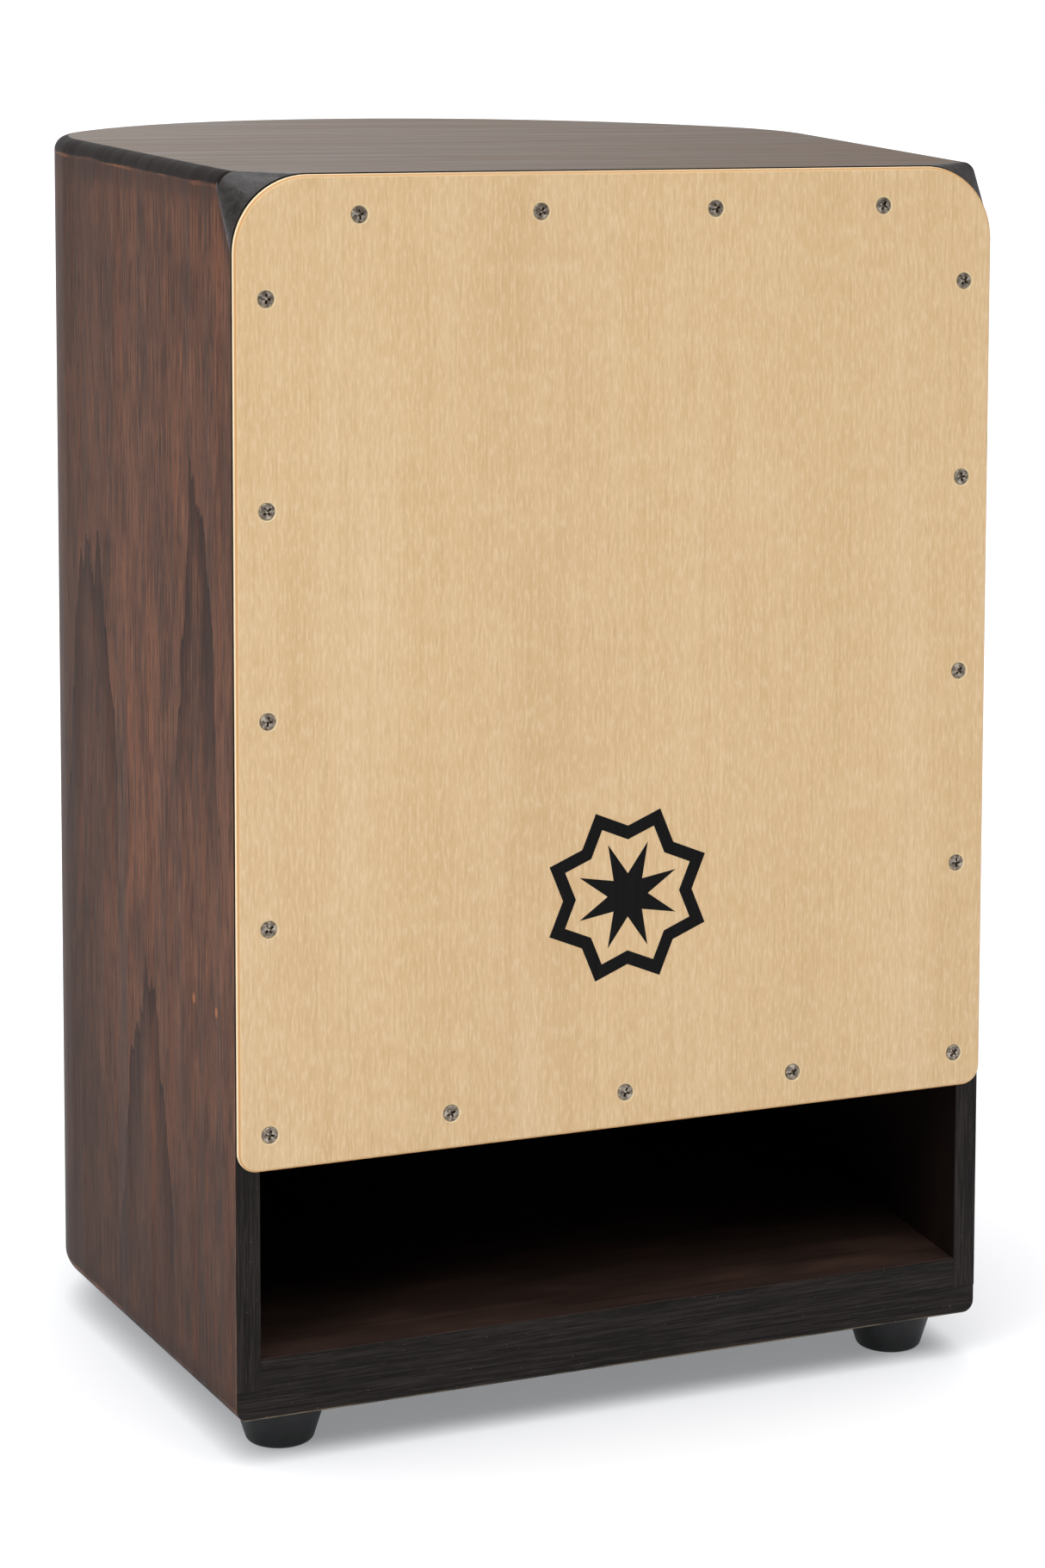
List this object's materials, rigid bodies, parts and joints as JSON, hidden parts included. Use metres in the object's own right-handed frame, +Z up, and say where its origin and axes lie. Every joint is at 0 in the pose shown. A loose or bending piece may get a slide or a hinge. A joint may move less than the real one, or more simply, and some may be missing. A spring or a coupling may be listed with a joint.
{
  "type": "cajon",
  "caption": "Round-backed box drum with a slanted seat, a thin screwed-on front panel and a wide slot port below it, on rubber feet.",
  "frame": {"origin": "on the floor under the middle of the object's width and depth", "axes": "+Z up, -Y towards the striking face, +X to the right as seen from in front"},
  "size_m": [0.3552, 0.32, 0.5195],
  "materials": {
    "stained_plywood": "dark espresso stain, satin lacquer",
    "inner_plywood": "dark stained, matt",
    "birch_panel": "clear satin lacquer on birch veneer",
    "pine_batten": "raw planed softwood",
    "rubber": "matt black moulded rubber",
    "screw_steel": "nickel-plated, slightly dull"
  },
  "bodies": {
    "root": {"batten_left": "pine_batten", "batten_right": "pine_batten", "batten_top": "pine_batten", "bent_shell": "stained_plywood", "bottom_board": "stained_plywood", "foot_front_left": "rubber", "foot_front_right": "rubber", "foot_rear_left": "rubber", "foot_rear_right": "rubber", "foot_screw_front_left": "screw_steel", "foot_screw_front_right": "screw_steel", "foot_screw_rear_left": "screw_steel", "foot_screw_rear_right": "screw_steel", "foot_washer_front_left": "screw_steel", "foot_washer_front_right": "screw_steel", "foot_washer_rear_left": "screw_steel", "foot_washer_rear_right": "screw_steel", "front_panel": "birch_panel", "panel_screw_bottom_1": "screw_steel", "panel_screw_bottom_2": "screw_steel", "panel_screw_bottom_3": "screw_steel", "panel_screw_left_1": "screw_steel", "panel_screw_left_2": "screw_steel", "panel_screw_left_3": "screw_steel", "panel_screw_left_4": "screw_steel", "panel_screw_left_5": "screw_steel", "panel_screw_right_1": "screw_steel", "panel_screw_right_2": "screw_steel", "panel_screw_right_3": "screw_steel", "panel_screw_right_4": "screw_steel", "panel_screw_right_5": "screw_steel", "panel_screw_top_1": "screw_steel", "panel_screw_top_2": "screw_steel", "panel_screw_top_3": "screw_steel", "panel_screw_top_4": "screw_steel", "port_floor": "inner_plywood", "port_shelf": "inner_plywood", "seat_board": "stained_plywood"}
  },
  "joints": []
}
